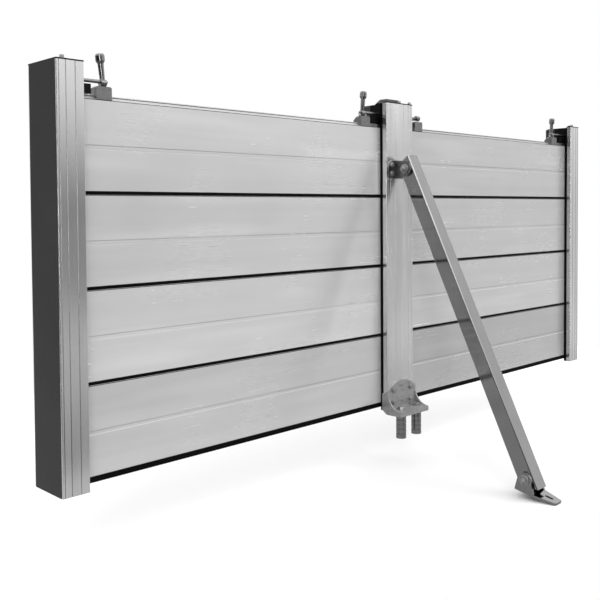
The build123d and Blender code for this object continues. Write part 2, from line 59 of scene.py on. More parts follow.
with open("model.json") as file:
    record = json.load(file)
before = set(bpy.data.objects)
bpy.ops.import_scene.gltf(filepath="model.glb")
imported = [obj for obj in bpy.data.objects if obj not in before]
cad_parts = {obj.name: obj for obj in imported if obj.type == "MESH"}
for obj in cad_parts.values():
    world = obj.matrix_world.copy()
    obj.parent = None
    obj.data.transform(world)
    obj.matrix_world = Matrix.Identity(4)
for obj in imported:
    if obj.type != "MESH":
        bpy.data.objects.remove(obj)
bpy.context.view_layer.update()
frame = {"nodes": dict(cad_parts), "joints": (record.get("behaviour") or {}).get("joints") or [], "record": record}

# Directions, with the front of the part toward -Y
forward, upward, leftward = (0, -1, 0), (0, 0, 1), (-1, 0, 0)

# Lines across an extrusion: dark ones of painted shade with dirt, lighter ones of painted highlight, all of one
# half width, and the black lips of seals
Soil = namedtuple("Soil", "axis dark clean half pitch depth lips")
# An uncoated rod along X: its axis, radius and colour
Rod = namedtuple("Rod", "y z radius bare")


# Shader fields


class Field:
    """A shader socket that takes part in plain arithmetic."""

    def __init__(self, tree, socket=None):
        self.tree = tree
        self.socket = socket

    def node(self, kind, settings=None, inputs=None, output=0):
        """Adds a node, sets it up and returns one of its outputs."""
        made = self.tree.nodes.new(kind)
        for key, value in (settings or {}).items():
            setattr(made, key, value)
        for key, value in (inputs or {}).items():
            if isinstance(value, Field):
                self.tree.links.new(value.socket, made.inputs[key])
            else:
                made.inputs[key].default_value = value
        return Field(self.tree, made.outputs[output])

    def math(self, operation, first, second=0.0):
        """A Math node on one or two values."""
        return self.node("ShaderNodeMath", {"operation": operation}, {0: first, 1: second})

    def __add__(self, other):
        return self.math("ADD", self, other)

    def __radd__(self, other):
        return self.math("ADD", other, self)

    def __sub__(self, other):
        return self.math("SUBTRACT", self, other)

    def __rsub__(self, other):
        return self.math("SUBTRACT", other, self)

    def __mul__(self, other):
        return self.math("MULTIPLY", self, other)

    def __rmul__(self, other):
        return self.math("MULTIPLY", other, self)

    def step(self, low, high):
        """A smooth rise from 0 at low to 1 at high."""
        return self.node(
            "ShaderNodeMapRange",
            {"interpolation_type": "SMOOTHSTEP", "clamp": True},
            {"Value": self, "From Min": low, "From Max": high},
        )

    def part(self, axis):
        """One coordinate of a vector."""
        return self.node("ShaderNodeSeparateXYZ", None, {0: self}, output=axis)

    def toward(self, direction):
        """How far this direction points along another."""
        settings = {"operation": "DOT_PRODUCT"}
        return self.node("ShaderNodeVectorMath", settings, {0: self, 1: direction}, output="Value")

    def noise(self, scale, detail=3.0, rough=0.5):
        """Even noise of so many cells to the metre."""
        return self.node(
            "ShaderNodeTexNoise",
            {"noise_dimensions": "3D"},
            {"Vector": self, "Scale": scale, "Detail": detail, "Roughness": rough},
        )

    def drawn_noise(self, along, across, length, detail=1.0):
        """Noise drawn out along one axis, from its frequencies across that axis and along it."""
        scale = [across] * 3
        scale[along] = length
        drawn = self.node("ShaderNodeMapping", None, {"Vector": self, "Scale": scale})
        return drawn.noise(1.0, detail)

    def cells(self, feature, inputs):
        """Distance to the middle of the nearest cell."""
        settings = {"feature": feature, "voronoi_dimensions": "3D"}
        return self.node("ShaderNodeTexVoronoi", settings, {"Vector": self, **inputs})

    def blend(self, first, second):
        """Mixes two colours by this field."""
        return self.node(
            "ShaderNodeMix",
            {"data_type": "RGBA", "blend_type": "MIX"},
            {
                0: self,
                6: first if isinstance(first, Field) else (*first, 1),
                7: second if isinstance(second, Field) else (*second, 1),
            },
            output=2,
        )


def grey(value):
    """A neutral colour."""
    return (value, value, value)


def shaded(tone, factor):
    """A colour made darker or lighter."""
    return [value * factor for value in tone]


def new_finish(name, metallic=0.0, specular=0.5):
    """A material with one Principled shader, its shader node and its object coordinates."""
    material = bpy.data.materials.new(name)
    material.use_nodes = True
    tree = material.node_tree
    tree.nodes.clear()
    shader = tree.nodes.new("ShaderNodeBsdfPrincipled")
    output = tree.nodes.new("ShaderNodeOutputMaterial")
    tree.links.new(shader.outputs[0], output.inputs["Surface"])
    shader.inputs["Metallic"].default_value = metallic
    shader.inputs["Specular IOR Level"].default_value = specular
    place = Field(tree).node("ShaderNodeTexCoord", output="Object")
    return material, shader, place


def connect(shader, colour, roughness, metallic=None):
    """Feeds a shader with what varies over the surface."""
    fields = {"Base Color": colour, "Roughness": roughness, "Metallic": metallic}
    for name, field in fields.items():
        if field is not None:
            field.tree.links.new(field.socket, shader.inputs[name])


def roughen(shader, height, depth, strength):
    """Bumps a surface by a height field of a real depth."""
    bump = height.node("ShaderNodeBump", None, {"Height": height, "Distance": depth, "Strength": strength})
    height.tree.links.new(bump.socket, shader.inputs["Normal"])


def line_mask(place, axis, positions, half, pitch=None):
    """A mask of narrow lines across one axis, repeated at a pitch where one is given."""
    along = place.part(axis)
    if pitch:
        along = place.math("FLOORED_MODULO", along, pitch)
    mask = 0.0
    for position in positions:
        away = place.math("ABSOLUTE", along - position)
        mask = mask + (1.0 - away.step(half * 0.5, half * 1.5))
    return mask


def mill_aluminium(name, tone, roughness, along, metallic, line_shading):
    """Extruded aluminium with faint die lines along one axis, clouds, painted sheen streaks, painted shade with
    dirt in some grooves and painted highlights along others.
    """
    material, shader, place = new_finish(name, metallic=metallic)
    lines = place.drawn_noise(along, across=150.0, length=0.8)
    bands = place.drawn_noise(along, across=45.0, length=0.35)
    sheen_streaks = place.drawn_noise(along, across=22.0, length=2.2).step(0.5, 0.8)
    clouds = place.noise(5.0)
    shade = 0.1 * lines + 0.4 * bands + 0.5 * clouds
    colour = shade.step(0.3, 0.7).blend(shaded(tone, 0.93), tone)
    # Lighter streaks along the extrusion are a painted sheen.
    colour = (0.6 * sheen_streaks).blend(colour, shaded(tone, 1.12))
    # Darker lines in grooves: painted shade, with some dirt.
    dark = line_mask(place, line_shading.axis, line_shading.dark, line_shading.half, line_shading.pitch)
    colour = (line_shading.depth * dark).blend(colour, shaded(tone, 0.35))
    # Lighter lines along other grooves: painted highlights that hide the grooves' shade.
    clean = line_mask(place, line_shading.axis, line_shading.clean, line_shading.half, line_shading.pitch)
    colour = (0.7 * clean).blend(colour, grey(0.98))
    if line_shading.lips:
        lip_half = 0.0008
        lips = line_mask(place, line_shading.axis, line_shading.lips, lip_half, line_shading.pitch)
        colour = lips.blend(colour, grey(0.003))
    connect(shader, colour, roughness + 0.04 * (lines - 0.5) + 0.1 * (clouds - 0.5))
    roughen(shader, 0.5 * lines + 0.3 * bands, depth=0.00004, strength=0.12)
    return material


def black_rubber(name, tone, roughness):
    """Matt rubber with a fine moulded skin, a dusty bloom and rubbed lighter patches."""
    material, shader, place = new_finish(name, specular=0.06)
    skin = place.noise(1500.0, detail=3.0, rough=0.6)
    bloom = place.noise(9.0, detail=6.0, rough=0.65)
    drawn = place.drawn_noise(along=0, across=240.0, length=2.0, detail=2.0)
    dust = (0.6 * bloom + 0.4 * drawn).step(0.45, 0.75)
    colour = (0.5 * dust).blend(tone, [value + 0.002 for value in shaded(tone, 2.0)])
    connect(shader, colour, roughness + 0.15 * (bloom - 0.5) + 0.1 * (skin - 0.5))
    roughen(shader, skin, depth=0.00008, strength=0.4)
    return material


def wall_foam(name, tone, roughness):
    """Cellular rubber sheet with small open pores."""
    material, shader, place = new_finish(name, specular=0.25)
    pores = place.cells("F1", {"Scale": 620.0})
    clouds = place.noise(7.0, detail=5.0, rough=0.6)
    shade = (0.5 * clouds + 0.5 * pores).step(0.25, 0.75)
    connect(shader, shade.blend(shaded(tone, 0.82), shaded(tone, 1.14)), roughness + 0.16 * (clouds - 0.5))
    roughen(shader, pores, depth=0.0002, strength=0.3)
    return material


def drawn_steel(name, tone, roughness, along):
    """Satin stainless tube with fine drawing lines and soft stains."""
    material, shader, place = new_finish(name, metallic=1.0)
    lines = place.drawn_noise(along, across=520.0, length=4.0, detail=2.0)
    clouds = place.noise(11.0, detail=5.0, rough=0.6)
    specks = place.noise(700.0, detail=2.0)
    colour = (0.5 * lines + 0.5 * clouds).step(0.3, 0.7).blend(shaded(tone, 0.88), tone)
    uneven = roughness + 0.04 * (lines - 0.5) + 0.06 * (clouds - 0.5) + 0.03 * (specks - 0.5)
    connect(shader, colour, uneven)
    roughen(shader, 0.6 * lines + 0.2 * specks, depth=0.00004, strength=0.15)
    return material


def zinc_casting(name, tone, roughness):
    """Galvanised casting with faint crystal patches and a slightly rough skin."""
    material, shader, place = new_finish(name, metallic=0.9)
    crystals = place.cells("SMOOTH_F1", {"Scale": 95.0, "Smoothness": 0.4})
    skin = place.noise(420.0, detail=4.0, rough=0.6)
    stains = place.noise(22.0, detail=5.0, rough=0.65)
    shade = 0.45 * crystals + 0.3 * skin + 0.25 * stains
    colour = shade.step(0.22, 0.6).blend(shaded(tone, 0.74), tone)
    connect(shader, colour, roughness + 0.2 * (stains - 0.5) + 0.14 * (skin - 0.5))
    roughen(shader, 0.7 * skin + 0.3 * stains, depth=0.0003, strength=0.4)
    return material


def turned_steel(name, tone, roughness):
    """Machined steel with fine tool marks and handled, darker patches."""
    material, shader, place = new_finish(name, metallic=1.0)
    marks = place.noise(900.0, detail=2.0)
    worn = place.noise(60.0, detail=5.0, rough=0.65)
    colour = (0.35 * marks + 0.65 * worn).step(0.3, 0.68).blend(shaded(tone, 0.7), tone)
    connect(shader, colour, roughness + 0.2 * (worn - 0.5) + 0.08 * (marks - 0.5))
    roughen(shader, marks, depth=0.00006, strength=0.3)
    return material


def black_coating(name, tone, roughness, rod, lit_height):
    """Satin black coating, rubbed lighter in places, with painted light above a height, and an uncoated rod along
    X.
    """
    material, shader, place = new_finish(name, specular=0.12)
    peel = place.noise(650.0, detail=2.0)
    worn = place.noise(45.0, detail=6.0, rough=0.7)
    colour = (0.7 * worn.step(0.5, 0.75)).blend(tone, [value + 0.004 for value in shaded(tone, 2.0)])
    edge = 0.001
    # Lighter grey above the height: painted light on the parts that stand above the posts.
    lit_top = place.part("Z").step(lit_height, lit_height + edge)
    colour = lit_top.blend(colour, worn.blend(grey(0.06), grey(0.2)))
    kind = "ShaderNodeVectorMath"
    flat = place.node(kind, {"operation": "MULTIPLY"}, {0: place, 1: (0.0, 1.0, 1.0)})
    away = place.node(kind, {"operation": "DISTANCE"}, {0: flat, 1: (0.0, rod.y, rod.z)}, output="Value")
    steel = 1.0 - away.step(rod.radius * 1.05, rod.radius * 1.12)
    colour = steel.blend(colour, worn.blend(shaded(rod.bare, 0.7), rod.bare))
    connect(shader, colour, roughness + 0.2 * (worn - 0.5) - 0.12 * steel, steel)
    roughen(shader, peel, depth=0.0001, strength=0.3)
    return material


# Modelling helpers


def deselect():
    """Goes to object mode with nothing selected."""
    if bpy.context.mode != "OBJECT":
        bpy.ops.object.mode_set(mode="OBJECT")
    bpy.ops.object.select_all(action="DESELECT")


def pick(test, kind="FACE"):
    """Selects the faces or edges of the mesh in edit mode that pass a test."""
    bpy.ops.mesh.select_mode(type=kind)
    bpy.ops.mesh.select_all(action="DESELECT")
    mesh = bmesh.from_edit_mesh(bpy.context.edit_object.data)
    found = 0
    for item in mesh.faces if kind == "FACE" else mesh.edges:
        if test(item):
            item.select_set(True)
            found += 1
    if not found:
        raise RuntimeError("nothing was selected on " + bpy.context.edit_object.name)
    mesh.select_flush_mode()
    bmesh.update_edit_mesh(bpy.context.edit_object.data)


def face_at(height, spread=1e-6):
    """A test for level faces at a height."""
    return lambda face: abs(face.calc_center_median().z - height) < spread and abs(face.normal.z) > 0.9


def ring_at(height, radius=0.0, spread=1e-6):
    """A test for edges at a height, at least a radius from the axis."""

    def test(edge):
        low, high = edge.verts
        return (
            abs(low.co.z - height) < spread
            and abs(high.co.z - height) < spread
            and min(low.co.xy.length, high.co.xy.length) >= radius
        )

    return test


def add_round(radius, base, height, sides):
    """Adds a cylinder or prism that stands on a height of the Z axis."""
    bpy.ops.mesh.primitive_cylinder_add(
        vertices=sides, radius=radius, depth=height, location=(0, 0, base + height / 2)
    )


def open_piece():
    """Applies the new primitive's place and goes on in edit mode."""
    bpy.ops.object.transform_apply(location=True, rotation=True, scale=True)
    bpy.ops.object.mode_set(mode="EDIT")


def round_over(width, segments):
    """Rounds the selected edges."""
    bpy.ops.mesh.bevel(offset=width, segments=segments, affect="EDGES")


def push(height):
    """Extrudes the selected faces along Z."""
    bpy.ops.mesh.extrude_region_move(TRANSFORM_OT_translate={"value": (0, 0, height)})


def finish_piece(name):
    """Leaves edit mode with outward faces and returns the finished piece."""
    bpy.ops.mesh.select_all(action="SELECT")
    bpy.ops.mesh.normals_make_consistent(inside=False)
    bpy.ops.object.mode_set(mode="OBJECT")
    piece = bpy.context.object
    piece.name = name
    piece.data.name = name
    bpy.ops.object.shade_smooth_by_angle(angle=math.radians(32))
    return piece


def model_hex_bolt(name, flats, head, washer_radius, washer):
    """A hexagon head with rounded corners on a flat washer, its axis along +Z."""
    corner = flats / math.sqrt(3)
    seat = corner * 0.86
    top = washer + head
    rim, edge = washer * 0.35, flats * 0.06
    lip, dish = flats * 0.07, flats * 0.03
    deselect()
    add_round(washer_radius, 0, washer, sides=32)
    open_piece()
    pick(ring_at(washer, washer_radius * 0.9), "EDGE")
    round_over(rim, segments=2)
    pick(face_at(washer))
    bpy.ops.mesh.inset(thickness=washer_radius - seat)
    bpy.ops.mesh.select_all(action="DESELECT")
    add_round(corner, washer / 2, top - washer / 2, sides=6)
    pick(face_at(top))
    round_over(edge, segments=2)
    pick(face_at(top))
    bpy.ops.mesh.inset(thickness=lip)
    push(-dish)
    return finish_piece(name)


def model_pan_screw(name, radius, head, socket):
    """A domed screw head with a tapered socket, its axis along +Z."""
    dome, sunk, taper = head * 0.55, head * 0.45, 0.8
    least_rim = radius * 0.1
    deselect()
    add_round(radius, 0, head, sides=30)
    open_piece()
    pick(ring_at(head, radius * 0.9), "EDGE")
    round_over(dome, segments=4)
    pick(face_at(head))
    bpy.ops.mesh.inset(thickness=max(radius - dome - socket, least_rim))
    push(-sunk)
    bpy.ops.transform.resize(value=(taper, taper, 1.0))
    return finish_piece(name)


def model_brace_pin(name, shank, length, end, disc, disc_thick, corner, head):
    """A long bolt with a dished disc and a hexagon, the disc's foot at 0 and its head along +Z."""
    crown = disc_thick + head
    top = crown + end
    rim, dish, edge = shank * 0.18, shank * 0.12, shank * 0.14
    disc_edge, disc_rim, disc_dish, taper = disc_thick * 0.3, disc * 0.1, disc_thick * 0.25, 0.96
    deselect()
    add_round(shank, -length, length + top, sides=48)
    open_piece()
    for height, way in ((top, -1), (-length, 1)):
        pick(face_at(height))
        bpy.ops.mesh.inset(thickness=rim)
        push(way * dish)
        pick(ring_at(height, shank * 0.95), "EDGE")
        round_over(edge, segments=2)
    bpy.ops.mesh.select_all(action="DESELECT")
    add_round(disc, 0, disc_thick, sides=64)
    pick(ring_at(disc_thick, disc * 0.95), "EDGE")
    round_over(disc_edge, segments=3)
    pick(lambda face: face_at(disc_thick)(face) and len(face.verts) > 40)
    bpy.ops.mesh.inset(thickness=disc_rim)
    push(-disc_dish)
    bpy.ops.transform.resize(value=(taper, taper, 1.0))
    bpy.ops.mesh.select_all(action="DESELECT")
    add_round(corner, disc_thick / 2, crown - disc_thick / 2, sides=6)
    pick(lambda face: face_at(crown)(face) and len(face.verts) == 6)
    round_over(corner * 0.1, segments=2)
    return finish_piece(name)


def model_back_plate(name, wide, tall, thick):
    """A pressed plate with rounded corners and a sunk middle, its foot at 0 and its face along +Z."""
    corner, edge = wide * 0.12, thick * 0.2
    rim, dish = wide * 0.16, thick * 0.2
    deselect()
    bpy.ops.mesh.primitive_cube_add(size=1, location=(0, 0, thick / 2), scale=(wide, tall, thick))
    open_piece()
    pick(lambda edge: abs(edge.verts[0].co.z - edge.verts[1].co.z) > thick * 0.9, "EDGE")
    round_over(corner, segments=3)
    pick(lambda edge: all(vert.co.z > thick * 0.99 for vert in edge.verts), "EDGE")
    round_over(edge, segments=2)
    pick(face_at(thick))
    bpy.ops.mesh.inset(thickness=rim)
    push(-dish)
    return finish_piece(name)


def place_copy(master, name, at, axis, turn=0.0):
    """A copy of a piece with its own mesh, its +Z along an axis and its foot at a point."""
    deselect()
    master.select_set(True)
    bpy.context.view_layer.objects.active = master
    bpy.ops.object.duplicate(linked=False)
    copy = bpy.context.object
    copy.name = name
    copy.data.name = name
    aim = Vector(axis).normalized().to_track_quat("Z", "Y").to_matrix().to_4x4()
    copy.matrix_world = Matrix.Translation(at) @ aim @ Matrix.Rotation(turn, 4, "Z")
    bpy.ops.object.transform_apply(location=True, rotation=True, scale=True)
    return copy


def pivot(name):
    """Where a joint of the record sits, in metres."""
    return next(joint["pos_m"] for joint in frame["joints"] if joint["name"] == name)


def dress(piece, body, slot):
    """Gives a piece the finish of a record slot and lets it ride on a body."""
    piece.data.materials.clear()
    piece.data.materials.append(bpy.data.materials[slot])
    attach(piece, body)


def spread_copies(master, places):
    """Copies a modelled fastener of the barrier to its places and removes the master."""
    stem = master.name
    for number, (at, axis, turn) in enumerate(places, 1):
        dress(place_copy(master, f"{stem}_{number}", at, axis, turn), "barrier", "hardware")
    bpy.data.objects.remove(master)


# Sizes and colours


class BarrierFinishes(bpy.types.PropertyGroup):
    """Colours and roughness of the barrier's materials."""

    aluminium: bpy.props.FloatVectorProperty(
        name="Aluminium",
        description="Colour of planks and posts",
        subtype="COLOR",
        default=grey(0.74),
        min=0,
        max=1,
    )
    film: bpy.props.FloatProperty(
        name="Plank metal",
        description="How far the planks shine as bare metal through their pale film",
        subtype="FACTOR",
        default=0.34,
        min=0,
        max=1,
    )
    plank_roughness: bpy.props.FloatProperty(
        name="Plank roughness",
        description="Roughness of the planks",
        subtype="FACTOR",
        default=0.26,
        min=0,
        max=1,
    )
    post_roughness: bpy.props.FloatProperty(
        name="Post roughness",
        description="Roughness of the posts",
        subtype="FACTOR",
        default=0.2,
        min=0,
        max=1,
    )
    rubber: bpy.props.FloatVectorProperty(
        name="Rubber",
        description="Colour of the seals",
        subtype="COLOR",
        default=grey(0.002),
        min=0,
        max=1,
    )
    foam: bpy.props.FloatVectorProperty(
        name="Wall foam",
        description="Colour of the wall gaskets",
        subtype="COLOR",
        default=grey(0.037),
        min=0,
        max=1,
    )
    stainless: bpy.props.FloatVectorProperty(
        name="Stainless",
        description="Colour of the brace and its foot",
        subtype="COLOR",
        default=grey(0.31),
        min=0,
        max=1,
    )
    hardware: bpy.props.FloatVectorProperty(
        name="Hardware",
        description="Colour of pins and bolts",
        subtype="COLOR",
        default=grey(0.2),
        min=0,
        max=1,
    )
    cast: bpy.props.FloatVectorProperty(
        name="Casting",
        description="Colour of the anchor bracket and anchors",
        subtype="COLOR",
        default=grey(0.44),
        min=0,
        max=1,
    )
    clamp: bpy.props.FloatVectorProperty(
        name="Clamp steel",
        description="Colour of the levers and blocks",
        subtype="COLOR",
        default=grey(0.27),
        min=0,
        max=1,
    )
    coating: bpy.props.FloatVectorProperty(
        name="Black coating",
        description="Colour of the clamp brackets",
        subtype="COLOR",
        default=grey(0.003),
        min=0,
        max=1,
    )


class BarrierFittings(bpy.types.PropertyGroup):
    """Sizes of the bolts, screws and washers."""

    bolt_flats: bpy.props.FloatProperty(
        name="Bolt flats",
        description="Across flats of the plate bolts",
        unit="LENGTH",
        default=0.013,
        min=0.004,
        max=0.03,
    )
    bolt_head: bpy.props.FloatProperty(
        name="Bolt head",
        description="Height of the plate bolt heads",
        unit="LENGTH",
        default=0.0055,
        min=0.002,
        max=0.02,
    )
    anchor_flats: bpy.props.FloatProperty(
        name="Anchor bolt flats",
        description="Across flats of the anchor bolts",
        unit="LENGTH",
        default=0.017,
        min=0.004,
        max=0.03,
    )
    anchor_head: bpy.props.FloatProperty(
        name="Anchor bolt head",
        description="Height of the anchor bolt heads",
        unit="LENGTH",
        default=0.0075,
        min=0.002,
        max=0.02,
    )
    screw_radius: bpy.props.FloatProperty(
        name="Screw radius",
        description="Radius from which the domed screw heads are scaled",
        unit="LENGTH",
        default=0.0052,
        min=0.002,
        max=0.02,
    )
    pin_disc: bpy.props.FloatProperty(
        name="Pin disc radius",
        description="Radius of the discs on the brace pins",
        unit="LENGTH",
        default=0.0135,
        min=0.01,
        max=0.02,
    )
    cap_flats: bpy.props.FloatProperty(
        name="Cap bolt flats",
        description="Across flats of the cap bolts",
        unit="LENGTH",
        default=0.0085,
        min=0.004,
        max=0.02,
    )


class BarrierStage(bpy.types.PropertyGroup):
    """Floor, light and camera."""

    floor: bpy.props.FloatVectorProperty(
        name="Floor",
        description="Colour of the floor",
        subtype="COLOR",
        default=grey(0.9),
        min=0,
        max=1,
    )
    mirrored: bpy.props.FloatProperty(
        name="Mirrored floor",
        description="Tone of the floor where metal mirrors it",
        subtype="FACTOR",
        default=0.42,
        min=0,
        max=1,
    )
    ground: bpy.props.FloatProperty(
        name="Ground light",
        description="Strength of the light from well below the horizon",
        default=0.25,
        min=0,
        max=5,
    )
    apron: bpy.props.FloatProperty(
        name="Apron light",
        description="Strength of the light from just below the horizon",
        default=0.85,
        min=0,
        max=5,
    )
    horizon: bpy.props.FloatProperty(
        name="Horizon light",
        description="Strength of the light at the horizon in front",
        default=0.14,
        min=0,
        max=5,
    )
    side: bpy.props.FloatProperty(
        name="Side light",
        description="Strength of the light at the horizon on the right",
        default=0.75,
        min=0,
        max=5,
    )
    window: bpy.props.FloatProperty(
        name="Window light",
        description="Strength of the window over the camera",
        default=3.0,
        min=0,
        max=20,
    )
    strip: bpy.props.FloatProperty(
        name="Strip light",
        description="Strength of the upright strip behind the camera",
        default=9.5,
        min=0,
        max=20,
    )
    sky: bpy.props.FloatProperty(
        name="Sky light",
        description="Strength of the even light above the horizon",
        default=1.1,
        min=0,
        max=5,
    )
    zenith: bpy.props.FloatProperty(
        name="Top light",
        description="Strength of the even light from above",
        default=1.5,
        min=0,
        max=8,
    )
    key: bpy.props.FloatProperty(
        name="Front lamp",
        description="Power of the large lamp that hangs in front and faces down",
        unit="POWER",
        default=15.0,
        min=0,
        max=2000,
    )
    eye: bpy.props.FloatVectorProperty(
        name="Camera",
        description="Place of the camera",
        subtype="TRANSLATION",
        unit="LENGTH",
        default=(-1.8933, -1.5753, 0.5805),
    )
    yaw: bpy.props.FloatProperty(
        name="Yaw",
        description="Turn of the view from +Y to +X",
        subtype="ANGLE",
        default=math.radians(44.44),
    )
    pitch: bpy.props.FloatProperty(
        name="Pitch",
        description="Rise of the view",
        subtype="ANGLE",
        default=math.radians(-1.964),
    )
    roll: bpy.props.FloatProperty(
        name="Roll",
        description="Tilt of the view",
        subtype="ANGLE",
        default=math.radians(-0.384),
    )
    lens: bpy.props.FloatProperty(
        name="Lens",
        description="Focal length in mm on a 36 mm frame",
        unit="CAMERA",
        default=49.76,
        min=10,
        max=300,
    )
    shift: bpy.props.FloatProperty(
        name="Shift",
        description="Vertical shift of the frame",
        default=-0.1028,
    )


# Operators


class BARRIER_OT_finishes(bpy.types.Operator):
    """Makes the materials and gives every frame node its finish"""

    bl_idname = "barrier.finishes"
    bl_label = "Finishes"

    line_half = 0.0011
    end_groove_shares = (0.09, 0.34, 0.68)
    middle_groove_shares = (-0.44, -0.34, -0.16, 0.16, 0.34, 0.44)
    # Planks that take the lighter copy of the plank aluminium, a painted light.
    bright = ("left_bay_plank_2", "left_bay_plank_3", "left_bay_plank_4")

    def plank_lines(self):
        """Die line with painted shade and dirt, a lower groove with a painted highlight, and seal lips, which
        repeat from plank to plank.
        """
        die_line, highlight_line = 0.09675, 0.089
        lower_lip, upper_lip = 0.0006, 0.0012
        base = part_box("left_bay_plank_1")[0].z
        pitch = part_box("left_bay_plank_2")[0].z - base
        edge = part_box("clamp_blocks")[0].z % pitch
        lips = (base + lower_lip, edge - upper_lip)
        return Soil(
            axis="Z",
            dark=(base + die_line,),
            clean=(base + highlight_line,),
            half=self.line_half,
            pitch=pitch,
            depth=0.3,
            lips=lips,
        )

    def post_lines(self):
        """Grooves of the end posts darkened by painted shade and dirt, and grooves of the middle post lightened by
        painted highlights.
        """
        low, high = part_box("left_post")
        ends = [low.x + share * (high.x - low.x) for share in self.end_groove_shares]
        ends += [-place for place in ends]
        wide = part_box("middle_post")[1].x * 2
        middle = [share * wide for share in self.middle_groove_shares]
        return Soil(
            axis="X",
            dark=ends,
            clean=middle,
            half=self.line_half,
            pitch=None,
            depth=0.55,
            lips=(),
        )

    def finish_of(self, name, slot):
        """The finish of a node, from its name and its slot in the record."""
        if name in self.bright:
            return "bright_planks"
        if name == "right_bay_plank_1":
            return "dull_planks"
        if name == "ground_anchors":
            return "anchor_zinc"
        if name.endswith("_clamp_lever"):
            return "lever_steel"
        if slot == "aluminium":
            return "plank_aluminium" if "plank" in name else "post_aluminium"
        return slot

    def execute(self, context):
        look = context.scene.barrier_finishes
        alu, steel = tuple(look.aluminium), tuple(look.stainless)
        cast, clamp = tuple(look.cast), tuple(look.clamp)
        hub, rod_radius = pivot("left_lever_turn"), 0.004
        rod = Rod(hub[1], hub[2], rod_radius, steel)
        cap_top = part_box("middle_cap")[1].z
        plank_lines, post_lines = self.plank_lines(), self.post_lines()
        # Lighter and darker copies of the plank aluminium: painted light on three left planks, painted shade on
        # the lowest right plank.
        plank_tones = {"bright_planks": 1.0, "plank_aluminium": 0.84, "dull_planks": 0.64}
        made = {
            name: mill_aluminium(
                name,
                shaded(alu, factor),
                roughness=look.plank_roughness,
                along=0,
                metallic=look.film,
                line_shading=plank_lines,
            )
            for name, factor in plank_tones.items()
        }
        made |= {
            "post_aluminium": mill_aluminium(
                "post_aluminium",
                shaded(alu, 0.98),
                roughness=look.post_roughness,
                along=2,
                metallic=0.95,
                line_shading=post_lines,
            ),
            "rubber": black_rubber("rubber", tuple(look.rubber), roughness=0.72),
            "wall_foam": wall_foam("wall_foam", tuple(look.foam), roughness=0.82),
            "stainless": drawn_steel("stainless", steel, roughness=0.08, along=2),
            "hardware": turned_steel("hardware", tuple(look.hardware), roughness=0.34),
            "cast": zinc_casting("cast", cast, roughness=0.46),
            # The coating takes painted light above the middle cap's top.
            "dark_steel": black_coating(
                "dark_steel", tuple(look.coating), roughness=0.42, rod=rod, lit_height=cap_top
            ),
            "anchor_zinc": zinc_casting("anchor_zinc", shaded(cast, 0.55), roughness=0.17),
            "clamp_steel": turned_steel("clamp_steel", clamp, roughness=0.36),
            "lever_steel": turned_steel("lever_steel", clamp, roughness=0.22),
        }
        slots = {row["node"]: row["material_slot"] for row in frame["record"]["subparts"]}
        for name, node in frame["nodes"].items():
            node.data.materials.clear()
            node.data.materials.append(made[self.finish_of(name, slots[name])])
        return {"FINISHED"}


class BARRIER_OT_bracket_bolts(bpy.types.Operator):
    """Hexagon bolts and small screws on the upright of the anchor bracket"""

    bl_idname = "barrier.bracket_bolts"
    bl_label = "Bracket bolts"

    def execute(self, context):
        fit = context.scene.barrier_fittings
        plate_thick, washer = 0.007, 0.0016
        reach, low_row, high_row = 0.0395, 0.0244, 0.0595
        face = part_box("middle_post")[0].y - plate_thick
        spots = (
            (-reach, high_row, 0.1),
            (reach, high_row, 0.35),
            (reach, low_row, 0.6),
            (-reach, low_row, 0.2),
        )
        master = model_hex_bolt("bracket_bolt", fit.bolt_flats, fit.bolt_head, fit.bolt_flats * 0.72, washer)
        spread_copies(master, [((x, face, z), forward, turn) for x, z, turn in spots])

        screw_head, socket, screw_turn = 0.003, 0.0018, 0.2
        screw_x, screw_rows = -0.0025, (0.069, 0.0255)
        master = model_pan_screw("bracket_screw", fit.screw_radius * 0.8, screw_head, socket)
        spread_copies(master, [((screw_x, face, z), forward, screw_turn) for z in screw_rows])
        return {"FINISHED"}


class BARRIER_OT_anchor_bolts(bpy.types.Operator):
    """Hexagon bolts with wide washers over the ground anchors"""

    bl_idname = "barrier.anchor_bolts"
    bl_label = "Anchor bolts"

    def execute(self, context):
        fit = context.scene.barrier_fittings
        flange_top, washer, turn = 0.005, 0.0025, 0.25
        low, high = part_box("ground_anchors")
        middle = (low + high) / 2
        reach = (high.x - low.x) / 2 - (high.y - low.y) / 2
        flats = fit.anchor_flats
        master = model_hex_bolt("anchor_bolt", flats, fit.anchor_head, flats * 0.8, washer)
        places = [
            ((middle.x + side * reach, middle.y, flange_top), upward, turn * side) for side in (-1, 1)
        ]
        spread_copies(master, places)
        return {"FINISHED"}


class BARRIER_OT_mount_bolts(bpy.types.Operator):
    """Bolts that hold the brace mount to the middle post"""

    bl_idname = "barrier.mount_bolts"
    bl_label = "Mount bolts"

    def execute(self, context):
        fit = context.scene.barrier_fittings
        plate_thick, washer = 0.005, 0.0014
        reach, rise = 0.042, 0.012
        side_turn, lift_turn = 0.3, 10
        low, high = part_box("brace_mount")
        height = (low.z + high.z) / 2
        face = high.y - plate_thick
        flats = fit.bolt_flats
        master = model_hex_bolt("mount_bolt", flats * 0.85, fit.bolt_head * 0.8, flats * 0.6, washer)
        places = [
            ((side * reach, face, height + lift), forward, side_turn * side + lift_turn * lift)
            for side in (-1, 1)
            for lift in (-rise, rise)
        ]
        spread_copies(master, places)
        return {"FINISHED"}


